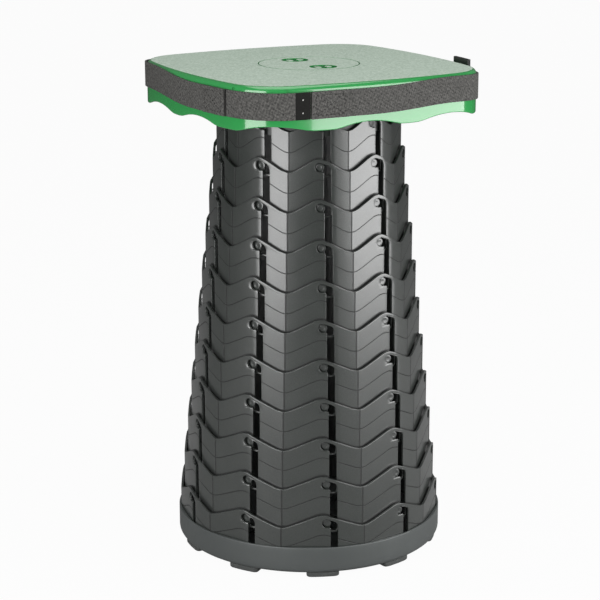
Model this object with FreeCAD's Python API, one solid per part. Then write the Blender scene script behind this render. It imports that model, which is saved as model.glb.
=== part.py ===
import FreeCAD, Part
import math
import os
from FreeCAD import Vector

# Collapsible telescopic stool. Millimetres, +Z up. The origin is on the floor under the
# middle of the base, +X and +Y point square to two sides of the seat, and the stool stands
# at its full height with every ring locked.

# Rings: sizes that all twelve share
ring_count = 12
slot_count = 10
stage_travel = 35.5
foot_strip = 3.9
ring_wall = 2.0
ring_step = 3.83
wave_height = 12.2
wave_roundness = 0.46
crest_lead_deg = 4.9

# Bayonet: slot, notch and lug
slot_width = 6.0
hook_reach = 7.4
hook_bend = 8.0
lug_radius = 3.4
lug_depth = 8.6
lug_play = 0.8
lug_tip_gap = 0.3

# Base
base_radius = 125.0
base_rim_height = 24.5
base_floor = 1.9
base_rim_wall = 1.6
base_bottom_bevel = 3.0
base_fit = 0.2
floor_gap = 0.3
rib_height = 6.0
rib_wall = 1.8
rib_hub_radius = 22.0
rib_reach = 70.0

# Feet
foot_height = 4.8
foot_width = 31.0
foot_radial = 18.0
foot_inset = 2.5

# Seat
seat_half_width = 128.0
seat_side_radius = 560.0
seat_corner_radius = 46.0
seat_plate = 3.0
seat_skirt = 39.0
seat_wall = 2.4
seat_edge_bevel = 3.0
seat_rise = 36.9
skirt_wave = 5.0
skirt_notch_half = 30.0
gusset_wall = 1.8
gusset_depth = 14.0
gusset_spread_deg = 9.0
crest_gap = 0.6

# Seat cap, its plugs and screws
cap_radius = 45.9
cap_rim = 2.0
cap_core = 4.5
cap_fit = 0.25
socket_wall = 8.0
socket_depth = 4.0
plug_radius = 12.0
plug_spacing = 53.0
plug_thickness = 2.0
plug_wall = 1.1
plug_sink = 1.0
plug_oval_radius = 3.2
plug_oval_spacing = 11.0
flange_thickness = 2.5
flange_bore_radius = 20.0
screw_circle_radius = 34.0
screw_angle_deg = 35.0
screw_radius = 1.6
screw_head_radius = 3.4
screw_head_height = 2.2
screw_hole_play = 0.3
screw_thread_play = 0.05
screw_boss_radius = 5.0
screw_tip_gap = 0.5

# Carry strap
strap_width = 23.0
strap_thickness = 1.6
strap_gap = 0.3
strap_drop = 5.2
strap_short_start_deg = -147.5
strap_short_end_deg = -118.6
strap_joint_gap = 0.8
slider_angle_deg = -24.0
slider_length = 26.0
slider_height = 34.0
slider_thickness = 3.0
slider_bar = 4.0
slider_stand = 3.5
slider_window = 4.5

# Worked out from the sizes above
pitch_deg = 360.0 / slot_count
half_pitch = math.radians(pitch_deg / 2)
cap_core_radius = plug_spacing / 2 + plug_radius + plug_wall
floor_top = foot_height + base_floor
notch_radius = lug_radius + lug_play
lug_rise = foot_strip + notch_radius
ring_height = lug_rise + stage_travel + lug_depth
first_crest = floor_top + floor_gap + ring_height
seat_top = first_crest + (ring_count - 2) * stage_travel + seat_rise
plate_underside = seat_top - seat_plate
last_travel = seat_rise - seat_plate - crest_gap


# A ring's wall is flat between the vertical lines where it folds: at each slot, and in the
# wave's valley between two slots. The flat left of a slot carries the hook, and is the wider.
wide_half = (half_pitch + math.radians(crest_lead_deg)) / 2
narrow_half = half_pitch - wide_half


def ring_radius(number):
    """Distance from the axis to a ring's folds. The first ring fills the base's rim."""
    return base_radius - base_rim_wall - base_fit - (number - 1) * ring_step


def flat_distance(fold_radius):
    """Distance from the axis to the middle of a wide flat."""
    return fold_radius * math.cos(wide_half)


def crest_height(number):
    return first_crest + (number - 1) * stage_travel


def at(radius, angle, z=0.0):
    return Vector(radius * math.cos(angle), radius * math.sin(angle), z)


def arc_through(start, middle, end):
    return Part.Arc(start, middle, end).toShape()


def turned(shape, degrees):
    copy = shape.copy()
    copy.rotate(Vector(0, 0, 0), Vector(0, 0, 1), degrees)
    return copy


def outwards(points, near, far):
    """A profile of straight edges, given across (Y) and up (Z), pushed along X."""
    corners = [Vector(near, across, up) for across, up in points]
    face = Part.Face(Part.makePolygon(corners + corners[:1]))
    return face.extrude(Vector(far - near, 0, 0))


def lug_outline(radius, across, up, foot):
    """A hexagon whose lower side is drawn down to the foot, as (across, up)."""
    corners = []
    for k in range(6):
        angle = k * math.pi / 3
        corners.append((across + radius * math.cos(angle), up + radius * math.sin(angle)))
    for k in (4, 5):
        corners[k] = (corners[k][0], foot)
    return corners


def folded_prism(fold_radius, low, high):
    """A solid column with two flats to each slot, and a slot's fold on +X."""
    corners = []
    for k in range(slot_count):
        slot = 2 * half_pitch * k
        corners.append(at(fold_radius, slot, low))
        corners.append(at(fold_radius, slot + 2 * narrow_half, low))
    return Part.Face(Part.makePolygon(corners + corners[:1])).extrude(Vector(0, 0, high - low))


def panel_blank(fold_radius, low, high):
    """One tenth of a ring: the wide flat, the slot's fold on +X, and the narrow flat."""
    inner = fold_radius - ring_wall / math.cos(wide_half)
    folds = [-2 * wide_half, 0, 2 * narrow_half]
    corners = [at(fold_radius, angle, low) for angle in folds]
    corners += [at(inner, angle, low) for angle in reversed(folds)]
    return Part.Face(Part.makePolygon(corners + corners[:1])).extrude(Vector(0, 0, high - low))


def wave_cutter(fold_radius, crest):
    """What lies above the wavy edge: a round crest, straight flanks and two half valleys.

    Crest and valley are arcs of one radius, each drawn as three equal chords, and the flanks
    are their common tangents.
    """
    half = fold_radius * math.sin(half_pitch)
    wave_radius = wave_roundness * half
    rise = 2 * wave_radius - wave_height
    slope = math.asin(2 * wave_radius / math.hypot(half, rise)) - math.atan2(rise, half)
    flank = []
    for angle in (slope / 3, slope):
        drop = wave_radius * (1 - math.cos(angle))
        flank.append((wave_radius * math.sin(angle), crest - drop))
    for angle in (slope, slope / 3):
        drop = wave_height - wave_radius * (1 - math.cos(angle))
        flank.append((half - wave_radius * math.sin(angle), crest - drop))
    valley_floor = flank[-1][1]
    flank += [(half + ring_wall, valley_floor), (half + ring_wall, crest + ring_wall)]
    outline = flank + [(-across, up) for across, up in reversed(flank)]
    cutter = outwards(outline, fold_radius / 2, fold_radius * 3 / 2)
    return turned(cutter, -crest_lead_deg)


def slot_cutter(fold_radius, crest):
    """The slot and, at its top, the notch that hooks over the lug of the next ring."""
    half = slot_width / 2
    notch = notch_radius
    centre = crest - lug_depth
    top = centre + notch
    ledge = centre - notch
    low = centre - stage_travel - notch
    outline = [
        (half, low),
        (half, top - hook_bend),
        (half - hook_bend, top),
        (-hook_reach - notch / 2, top),
        (-hook_reach - notch, centre + notch / 2),
        (-hook_reach - notch, centre - notch / 2),
        (-hook_reach - notch / 2, ledge),
        (-half, ledge),
        (-half, low),
    ]
    return outwards(outline, fold_radius - 3 * ring_wall, fold_radius + 3 * ring_wall)


def lug(fold_radius, height):
    """A lug that stands in the notch of the ring round it, on a rib that guides the foot."""
    root = flat_distance(fold_radius) - ring_wall / 2
    tip = flat_distance(fold_radius + ring_step) - ring_wall - lug_tip_gap
    across = flat_distance(fold_radius + ring_step) * math.tan(wide_half) - hook_reach
    post = outwards(lug_outline(lug_radius, across, height, height - lug_rise), root, tip)
    return turned(post, -math.degrees(wide_half))


def ring_from_panel(panel):
    """Ten copies of one panel round the axis."""
    panels = [turned(panel, pitch_deg * k) for k in range(slot_count)]
    return panels[0].multiFuse(panels[1:]).removeSplitter()


def build_ring(number):
    """A telescopic ring: wavy top, hooked slots, and lugs at its foot."""
    fold_radius = ring_radius(number)
    crest = crest_height(number)
    low = floor_top if number == 1 else crest - ring_height
    panel = panel_blank(fold_radius, low, crest)
    panel = panel.cut([wave_cutter(fold_radius, crest), slot_cutter(fold_radius, crest)])
    panel = panel.fuse(lug(fold_radius, crest - stage_travel - lug_depth))
    return ring_from_panel(panel)


def build_top_ring():
    """The innermost ring: plain top, inward flange for the seat, lugs at its foot."""
    fold_radius = ring_radius(ring_count)
    low = crest_height(ring_count) - ring_height
    panel = panel_blank(fold_radius, low, plate_underside - floor_gap)
    panel = panel.fuse(lug(fold_radius, crest_height(ring_count - 1) - lug_depth))
    ring = ring_from_panel(panel)
    flange_top = plate_underside - socket_depth
    flange_low = flange_top - flange_thickness
    ring = ring.fuse(folded_prism(fold_radius - ring_wall / 2, flange_low, flange_top))
    holes = [folded_prism(flange_bore_radius, flange_low - 1, flange_top + 1)]
    for spot in screw_spots():
        hole = hex_post(screw_radius + screw_hole_play, flange_low - 1, flange_top + 1)
        hole.translate(spot)
        holes.append(hole)
    return ring.cut(holes).removeSplitter()


def build_base_tray():
    """The base: a rim that the outermost ring snaps into, on a floor with stiffening ribs."""
    rim_top = foot_height + base_rim_height
    tray = Part.makeCylinder(base_radius, base_rim_height, Vector(0, 0, foot_height))
    bottom = [e for e in tray.Edges if e.BoundBox.ZMax < foot_height + 0.01]
    tray = tray.makeChamfer(base_bottom_bevel, bottom)
    tray = tray.cut(folded_prism(ring_radius(1) + base_fit, floor_top, rim_top + 1))
    host = ring_radius(0)
    across = flat_distance(host) * math.tan(wide_half) - hook_reach
    depth = flat_distance(host) - ring_wall
    height = first_crest - stage_travel - lug_depth
    outline = lug_outline(lug_radius + lug_play / 2, across, height, floor_top)
    socket = outwards(outline, rib_reach, depth)
    first = -math.degrees(wide_half)
    tray = tray.cut([turned(socket, first + pitch_deg * k) for k in range(slot_count)])
    hub = folded_prism(rib_hub_radius, floor_top, floor_top + rib_height)
    hub = hub.cut(folded_prism(rib_hub_radius - rib_wall, floor_top, floor_top + rib_height))
    start = rib_hub_radius - rib_wall
    rib = Part.makeBox(rib_reach - start, rib_wall, rib_height, Vector(start, -rib_wall / 2, floor_top))
    ribs = [turned(rib, pitch_deg * k) for k in range(slot_count)]
    return tray.multiFuse([hub] + ribs).removeSplitter()


def build_base_feet():
    """Ten rubber pads under the rim, one below each crest."""
    outer = base_radius - foot_inset
    inner = outer - foot_radial
    half = foot_width / 2 / outer
    edges = [
        arc_through(at(outer, -half), at(outer, 0), at(outer, half)),
        Part.LineSegment(at(outer, half), at(inner, half)).toShape(),
        arc_through(at(inner, half), at(inner, 0), at(inner, -half)),
        Part.LineSegment(at(inner, -half), at(outer, -half)).toShape(),
    ]
    pad = Part.Face(Part.Wire(edges)).extrude(Vector(0, 0, foot_height))
    return Part.makeCompound([turned(pad, pitch_deg * k - crest_lead_deg) for k in range(slot_count)])


def seat_outline(grow, z):
    """The seat's outline: four gently bulged sides and four round corners, all tangent."""
    side_centre = seat_half_width - seat_side_radius
    reach = seat_side_radius - seat_corner_radius
    corner = (side_centre + math.sqrt(2 * reach**2 - side_centre**2)) / 2
    bend = math.atan2(corner, corner - side_centre)
    side = seat_side_radius + grow
    edges = []
    for k in range(4):
        turn = k * math.pi / 2
        centre = at(side_centre, turn, z)
        start = centre + at(side, turn - bend)
        end = centre + at(side, turn + bend)
        edges.append(arc_through(start, centre + at(side, turn), end))
        tip = at(corner * math.sqrt(2) + seat_corner_radius + grow, turn + math.pi / 4, z)
        following = turn + math.pi / 2
        after = at(side_centre, following, z) + at(side, following - bend)
        edges.append(arc_through(end, tip, after))
    return Part.Wire(edges)


def seat_prism(grow, low, high):
    return Part.Face(seat_outline(grow, low)).extrude(Vector(0, 0, high - low))


def build_seat_shell():
    """The seat: one moulding with a flat top, a skirt with a wavy foot, and a cap socket."""
    foot = seat_top - seat_skirt
    shell = seat_prism(0, foot, seat_top)
    rim = [e for e in shell.Edges if e.BoundBox.ZMin > seat_top - 0.01]
    shell = shell.makeChamfer(seat_edge_bevel, rim)
    shell = shell.cut(seat_prism(-seat_wall, foot - 1, plate_underside))
    bow_radius = (skirt_notch_half**2 + skirt_wave**2) / (2 * skirt_wave)
    bow_centre = Vector(seat_half_width / 2, 0, foot + skirt_wave - bow_radius)
    bow = Part.makeCylinder(bow_radius, seat_half_width, bow_centre, Vector(1, 0, 0))
    valley = pitch_deg / 2 - crest_lead_deg
    shell = shell.cut([turned(bow, valley + pitch_deg * k) for k in range(slot_count)])
    clear = base_radius + seat_wall
    reach = seat_half_width * math.sqrt(2)
    corner = Vector(clear, -gusset_wall / 2, plate_underside - gusset_depth)
    gusset = Part.makeBox(reach - clear, gusset_wall, gusset_depth, corner)
    gussets = []
    for k in range(4):
        for side in (-1, 0, 1):
            gussets.append(turned(gusset, 45 + 90 * k + side * gusset_spread_deg))
    inside = seat_prism(-seat_wall / 2, foot, plate_underside)
    gussets = [g.common(inside) for g in gussets]
    socket_low = plate_underside - socket_depth
    socket = folded_prism(cap_core_radius + socket_wall, socket_low, plate_underside + seat_plate / 2)
    shell = shell.multiFuse(gussets + [socket])
    shell = shell.cut(folded_prism(cap_core_radius + cap_fit, socket_low - 1, seat_top + 1))
    recess = Vector(0, 0, seat_top - cap_rim)
    return shell.cut(Part.makeCylinder(cap_radius + cap_fit, cap_rim + 1, recess)).removeSplitter()


def hex_post(radius, low, high):
    """An upright six-sided post on the axis."""
    corners = [at(radius, k * math.pi / 3, low) for k in range(6)]
    return Part.Face(Part.makePolygon(corners + corners[:1])).extrude(Vector(0, 0, high - low))


def screw_spots():
    """Places of the four screws round the axis."""
    angles = [screw_angle_deg, -screw_angle_deg, 180 + screw_angle_deg, 180 - screw_angle_deg]
    return [at(screw_circle_radius, math.radians(angle)) for angle in angles]


def plug_spots():
    return [Vector(0, side * plug_spacing / 2, 0) for side in (-1, 1)]


def build_seat_cap():
    """The round cap in the middle of the seat, with bosses for the screws from below."""
    cap = Part.makeCylinder(cap_radius, cap_rim, Vector(0, 0, seat_top - cap_rim))
    core_low = seat_top - cap_core
    boss_low = plate_underside - socket_depth
    solids = [folded_prism(cap_core_radius, core_low, seat_top - cap_rim / 2)]
    holes = []
    for spot in screw_spots():
        boss = hex_post(screw_boss_radius, boss_low, core_low + cap_rim / 2)
        boss.translate(spot)
        solids.append(boss)
        hole = hex_post(screw_radius + screw_thread_play, boss_low - 1, seat_top - cap_rim)
        hole.translate(spot)
        holes.append(hole)
    recess_low = seat_top - plug_sink - plug_thickness
    for spot in plug_spots():
        start = Vector(spot.x, spot.y, recess_low)
        holes.append(Part.makeCylinder(plug_radius + cap_fit, plug_thickness + plug_sink + 1, start))
    return cap.multiFuse(solids).removeSplitter().cut(holes)


def build_cap_plugs():
    """Two round plugs sunk in the cap, each with two raised ovals to grip."""
    low = seat_top - plug_sink - plug_thickness
    plugs = []
    for spot in plug_spots():
        disc = Part.makeCylinder(plug_radius, plug_thickness, Vector(spot.x, spot.y, low))
        ovals = []
        for side in (-1, 1):
            oval = hex_post(plug_oval_radius, low + plug_thickness / 2, seat_top)
            oval.translate(Vector(spot.x + side * plug_oval_spacing / 2, spot.y, 0))
            ovals.append(oval)
        plugs.append(disc.multiFuse(ovals))
    return Part.makeCompound(plugs)


def build_seat_screws():
    """Four hexagon-head screws that clamp cap, seat and top ring together."""
    under = plate_underside - socket_depth - flange_thickness
    tip = seat_top - cap_rim - screw_tip_gap - 1
    screws = []
    for spot in screw_spots():
        shank = hex_post(screw_radius, under, tip)
        screw = shank.fuse(hex_post(screw_head_radius, under - screw_head_height, under))
        screw.translate(spot)
        screws.append(screw)
    return Part.makeCompound(screws)


def strap_band():
    high = seat_top - strap_drop
    low = high - strap_width
    outer = seat_prism(strap_gap + strap_thickness, low, high)
    return outer.cut(seat_prism(strap_gap, low - 1, high + 1))


def sector(start_deg, end_deg):
    """A tall wedge about the axis that holds one stretch of the strap."""
    reach = 2 * seat_half_width
    start, end = math.radians(start_deg), math.radians(end_deg)
    low = seat_top - seat_skirt
    middle = (start + end) / 2
    edges = [
        Part.LineSegment(Vector(0, 0, low), at(reach, start, low)).toShape(),
        arc_through(at(reach, start, low), at(reach, middle, low), at(reach, end, low)),
        Part.LineSegment(at(reach, end, low), Vector(0, 0, low)).toShape(),
    ]
    return Part.Face(Part.Wire(edges)).extrude(Vector(0, 0, 2 * seat_skirt))


def build_strap_long():
    """The webbing that runs round the skirt, open where the short length closes it."""
    gap = math.degrees(strap_joint_gap / seat_half_width)
    return strap_band().cut(sector(strap_short_start_deg - gap, strap_short_end_deg + gap))


def build_strap_short():
    return strap_band().common(sector(strap_short_start_deg, strap_short_end_deg))


def build_strap_slider():
    """The strap's plastic slider: a plate with two windows and a bar between them."""
    high = seat_top + slider_stand
    low = high - slider_height
    angle = math.radians(slider_angle_deg)
    near = strap_gap + strap_thickness + strap_gap
    outside = seat_prism(near + slider_thickness, low, high)
    plate = outside.cut(seat_prism(near, low - 1, high + 1))
    reach = 2 * seat_half_width
    block = Part.makeBox(reach, slider_length, slider_height, Vector(0, -slider_length / 2, low))
    slider = plate.common(turned(block, math.degrees(angle)))
    window_high = seat_top - strap_drop
    window_low = window_high - strap_width
    windows = []
    for side in (-1, 1):
        middle = side * (slider_bar + slider_window) / 2
        opening = Part.makeBox(
            reach, slider_window, window_high - window_low, Vector(0, middle - slider_window / 2, window_low)
        )
        windows.append(turned(opening, math.degrees(angle)))
    return slider.cut(windows)


def build_all():
    parts = {"base_tray": build_base_tray(), "base_feet": build_base_feet()}
    for number in range(1, ring_count):
        parts["ring_%02d" % number] = build_ring(number)
    parts["ring_%02d" % ring_count] = build_top_ring()
    parts["seat_shell"] = build_seat_shell()
    parts["seat_cap"] = build_seat_cap()
    parts["cap_plugs"] = build_cap_plugs()
    parts["seat_screws"] = build_seat_screws()
    parts["strap_long"] = build_strap_long()
    parts["strap_short"] = build_strap_short()
    parts["strap_slider"] = build_strap_slider()
    return parts


os.makedirs("parts", exist_ok=True)
for name, shape in build_all().items():
    print("%-13s %2d solids %4d faces valid %s volume %.0f" % (
        name, len(shape.Solids), len(shape.Faces), shape.isValid(), shape.Volume))
    shape.exportStep("parts/%s.step" % name)
print("seat top %.1f, last travel %.1f, crest of the first ring %.1f" % (seat_top, last_travel, first_crest))
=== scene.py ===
import math

import bmesh
import bpy
import numpy as np
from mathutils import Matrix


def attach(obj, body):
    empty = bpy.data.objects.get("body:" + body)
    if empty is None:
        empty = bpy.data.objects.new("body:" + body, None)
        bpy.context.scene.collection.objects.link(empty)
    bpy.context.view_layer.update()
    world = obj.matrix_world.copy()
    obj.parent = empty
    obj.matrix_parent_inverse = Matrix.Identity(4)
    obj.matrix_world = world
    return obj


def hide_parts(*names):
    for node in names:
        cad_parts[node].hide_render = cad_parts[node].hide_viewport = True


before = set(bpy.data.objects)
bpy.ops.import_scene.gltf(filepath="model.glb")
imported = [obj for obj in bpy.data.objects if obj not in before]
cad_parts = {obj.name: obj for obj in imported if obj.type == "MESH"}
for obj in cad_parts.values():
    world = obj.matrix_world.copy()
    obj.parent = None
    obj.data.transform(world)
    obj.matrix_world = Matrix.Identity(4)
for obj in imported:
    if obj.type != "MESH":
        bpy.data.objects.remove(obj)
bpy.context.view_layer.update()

# Studio. A plain white floor and backdrop, two low soft lights that stand to the left and
# right of the camera, and one overhead. The camera stands 1.65 m from the stool's axis and
# 0.67 m above the floor, with a long lens.
CAMERA_AZIMUTH = math.radians(-119.06)
CAMERA_REACH = 1.65
CAMERA_HEIGHT = 0.6675
CAMERA_TILT = math.radians(14.908)

camera = bpy.data.objects.new("camera", bpy.data.cameras.new("camera"))
bpy.context.collection.objects.link(camera)
camera.location = (
    CAMERA_REACH * math.cos(CAMERA_AZIMUTH),
    CAMERA_REACH * math.sin(CAMERA_AZIMUTH),
    CAMERA_HEIGHT,
)
camera.rotation_euler = (math.pi / 2 - CAMERA_TILT, 0, CAMERA_AZIMUTH + math.pi / 2)
camera.data.lens = 108.88
camera.data.sensor_width = 36
camera.data.shift_x = -0.01473
camera.data.clip_end = 50
bpy.context.scene.camera = camera
bpy.context.scene.view_settings.view_transform = "Standard"


def soft_light(name, turn_deg, reach, height, aim, size, power):
    """A rectangular light at an angle round the stool, counted from the camera to the right."""
    lamp = bpy.data.objects.new(name, bpy.data.lights.new(name, "AREA"))
    bpy.context.collection.objects.link(lamp)
    lamp.data.shape = "RECTANGLE"
    lamp.data.size, lamp.data.size_y = size
    lamp.data.energy = power
    azimuth = CAMERA_AZIMUTH + math.radians(turn_deg)
    lamp.location = (reach * math.cos(azimuth), reach * math.sin(azimuth), height)
    tilt = math.atan2(height - aim, reach)
    lamp.rotation_euler = (math.pi / 2 - tilt, 0, azimuth + math.pi / 2)


soft_light("left_light", -37, 0.95, 0.42, 0.42, (0.72, 0.8), 11)
soft_light("right_light", 66, 0.95, 0.42, 0.42, (0.95, 0.8), 14.5)
soft_light("top_light", 0, 0.15, 1.6, 0.3, (1.3, 1.3), 13)


class Signal:
    """One socket of a finish in the making. Sums and products of signals add Math nodes."""

    def __init__(self, finish, socket):
        self.finish = finish
        self.socket = socket

    def math(self, operation, other, flip=False):
        pair = {0: other, 1: self} if flip else {0: self, 1: other}
        return self.finish.node("ShaderNodeMath", {"operation": operation}, pair)

    def __add__(self, other):
        return self.math("ADD", other)

    def __radd__(self, other):
        return self.math("ADD", other)

    def __sub__(self, other):
        return self.math("SUBTRACT", other)

    def __rsub__(self, other):
        return self.math("SUBTRACT", other, flip=True)

    def __mul__(self, other):
        return self.math("MULTIPLY", other)

    def __abs__(self):
        return self.math("ABSOLUTE", 0.0)

    def between(self, low, high):
        """0 below low, 1 above high, and a smooth step between them."""
        settings = {"interpolation_type": "SMOOTHSTEP"}
        values = {"Value": self, "From Min": low, "From Max": high}
        return self.finish.node("ShaderNodeMapRange", settings, values)

    def near(self, middle, width, blur):
        """1 within half a width of the middle, fading to 0 over the blur."""
        return 1 - abs(self - middle).between(width / 2, width / 2 + blur)


class Finish:
    """A material in the making: a Principled shader and the nodes that feed it."""

    def __init__(self, name, **constants):
        self.material = bpy.data.materials.new(name)
        self.material.use_nodes = True
        self.tree = self.material.node_tree
        self.shader = next(n for n in self.tree.nodes if n.type == "BSDF_PRINCIPLED")
        self.set(**constants)

    def node(self, kind, settings, values, out=0):
        """Adds a node: its settings first, then a value or a signal to each named socket."""
        made = self.tree.nodes.new(kind)
        for key, value in settings.items():
            setattr(made, key, value)
        for key, value in values.items():
            if isinstance(value, Signal):
                self.tree.links.new(value.socket, made.inputs[key])
            else:
                made.inputs[key].default_value = value
        return Signal(self, made.outputs[out])

    def set(self, **sockets):
        """Gives the shader's sockets constants or signals; Base_Color means Base Color."""
        for key, value in sockets.items():
            socket = self.shader.inputs[key.replace("_", " ")]
            if isinstance(value, Signal):
                self.tree.links.new(value.socket, socket)
            else:
                socket.default_value = value

    def place(self):
        """Where a point is on the piece, in metres in the stool's own frame."""
        return self.node("ShaderNodeTexCoord", {}, {}, out="Object")

    def across(self, layer):
        """The two coordinates of a UV layer, as signals."""
        uv = self.node("ShaderNodeUVMap", {"uv_map": layer}, {})
        return [self.node("ShaderNodeSeparateXYZ", {}, {0: uv}, out=axis) for axis in ("X", "Y")]

    def noise(self, scale, detail=2.0, roughness=0.5, where=None):
        where = where or self.place()
        values = {"Vector": where, "Scale": scale, "Detail": detail, "Roughness": roughness}
        return self.node("ShaderNodeTexNoise", {}, values)

    def mix(self, share, first, second):
        """A colour part of the way from the first to the second."""
        settings = {"data_type": "RGBA"}
        return self.node("ShaderNodeMix", settings, {0: share, 6: first, 7: second}, out=2)

    def relief(self, height):
        """A Normal from a height in metres."""
        values = {"Height": height, "Distance": 1.0, "Strength": 1.0}
        return self.node("ShaderNodeBump", {}, values)


def stage_paint(name, colour, glow):
    """Matt paint that the camera sees as nearly white, with the stool's shadow still in it."""
    paint = Finish(name, Base_Color=colour, Roughness=0.9)
    tree = paint.tree
    camera_ray = paint.node("ShaderNodeLightPath", {}, {}, out="Is Camera Ray")
    emit = paint.node("ShaderNodeEmission", {}, {"Color": (1, 1, 1, 1), "Strength": 1.0})
    shader = Signal(paint, paint.shader.outputs[0])
    both = paint.node("ShaderNodeMixShader", {}, {0: camera_ray * glow, 1: shader, 2: emit})
    output = next(n for n in tree.nodes if n.type == "OUTPUT_MATERIAL")
    tree.links.new(both.socket, output.inputs[0])
    return paint.material


def plain_sheet(name, corners, material):
    mesh = bpy.data.meshes.new(name)
    mesh.from_pydata(corners, [], [(0, 1, 2, 3)])
    mesh.materials.append(material)
    sheet = bpy.data.objects.new(name, mesh)
    bpy.context.collection.objects.link(sheet)


FLOOR = 6.0
plain_sheet(
    "floor",
    [(-FLOOR, -FLOOR, 0), (FLOOR, -FLOOR, 0), (FLOOR, FLOOR, 0), (-FLOOR, FLOOR, 0)],
    stage_paint("floor_paint", (0.3, 0.3, 0.3, 1), 0.965),
)
world = bpy.data.worlds.new("studio")
bpy.context.scene.world = world
world.use_nodes = True
background = world.node_tree.nodes["Background"]
light_path = world.node_tree.nodes.new("ShaderNodeLightPath")
seen = world.node_tree.nodes.new("ShaderNodeMapRange")
seen.inputs["To Min"].default_value = 0.14
seen.inputs["To Max"].default_value = 1.0
world.node_tree.links.new(light_path.outputs["Is Camera Ray"], seen.inputs["Value"])
world.node_tree.links.new(seen.outputs[0], background.inputs["Strength"])
background.inputs["Color"].default_value = (1, 1, 1, 1)

# Rings. Eleven upright rings of satin charcoal plastic that step inwards on the way up, each
# a thin wall of twenty nearly flat faces with a wavy top. A slot runs up every second fold and
# hooks over a lug of the next ring. A line is engraved below the wave and down each valley.
MM = 0.001
RINGS = 11
SLOTS = 10
TRAVEL = 35.5
RING_STEP = 3.83
RING_WALL = 2.0
FIRST_FOLD = 123.2
FIRST_CREST = 59.2
WAVE = 12.2
WAVE_ROUNDNESS = 0.46
LUG_DEPTH = 7.4
LUG_RADIUS = 3.8
LUG_REST = 0.5
LUG_GAP = 0.3
LUG_RIB = 3.4
NOTCH = 4.2
HOOK_REACH = 7.4
HOOK_BEND = 8.0
SLOT_LEFT = 3.8
SLOT_RIGHT = 3.0
SLOT_BEND = 1.5
FOOT_DROP = 5.1
FOOT_STRIP = 1.2
EDGE = 0.35
CROWN = 0.4
GROOVE_DROP = 18.4
LEAD = math.radians(4.9)
HALF_PITCH = math.pi / SLOTS
WIDE_HALF = (HALF_PITCH + LEAD) / 2
NARROW_HALF = HALF_PITCH - WIDE_HALF


def fold_radius(number):
    return FIRST_FOLD - (number - 1) * RING_STEP


def crest_height(number):
    return FIRST_CREST + (number - 1) * TRAVEL


def wall_radius(fold, angle):
    """Distance from the axis at an angle from a slot: flats between folds, crowned part of
    the way to a full circle."""
    middle = np.where(angle < 0, -WIDE_HALF, NARROW_HALF)
    half = np.where(angle < 0, WIDE_HALF, NARROW_HALF)
    flat = fold * np.cos(half) / np.cos(angle - middle)
    return (1 - CROWN) * flat + CROWN * fold


def wave_drop(fold, angle):
    """How far the wavy edge lies below its crest: crest and valley are arcs of one radius,
    joined by their common tangents."""
    half = fold * math.sin(HALF_PITCH)
    radius = WAVE_ROUNDNESS * half
    rise = 2 * radius - WAVE
    slope = math.asin(2 * radius / math.hypot(half, rise)) - math.atan2(rise, half)
    across = np.minimum(np.abs(fold * np.sin(angle + LEAD)), half)
    bend = radius * math.sin(slope)
    crest = radius - np.sqrt(np.maximum(radius**2 - across**2, 0))
    flank = radius * (1 - math.cos(slope)) + (across - bend) * math.tan(slope)
    valley = WAVE - radius + np.sqrt(np.maximum(radius**2 - (half - across) ** 2, 0))
    return np.where(across < bend, crest, np.where(across < half - bend, flank, valley))


def spaced(start, end, count, fine_start=False, fine_end=False):
    """Steps from start to end, with three close steps at an end whose edge is rounded."""
    close = EDGE * np.array([0.0, 0.17, 0.5, 1.0])
    head = start + close if fine_start else np.array([start])
    tail = (end - close)[::-1] if fine_end else np.array([end])
    return np.concatenate([head, np.linspace(head[-1], tail[0], count + 1)[1:-1], tail])


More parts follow.
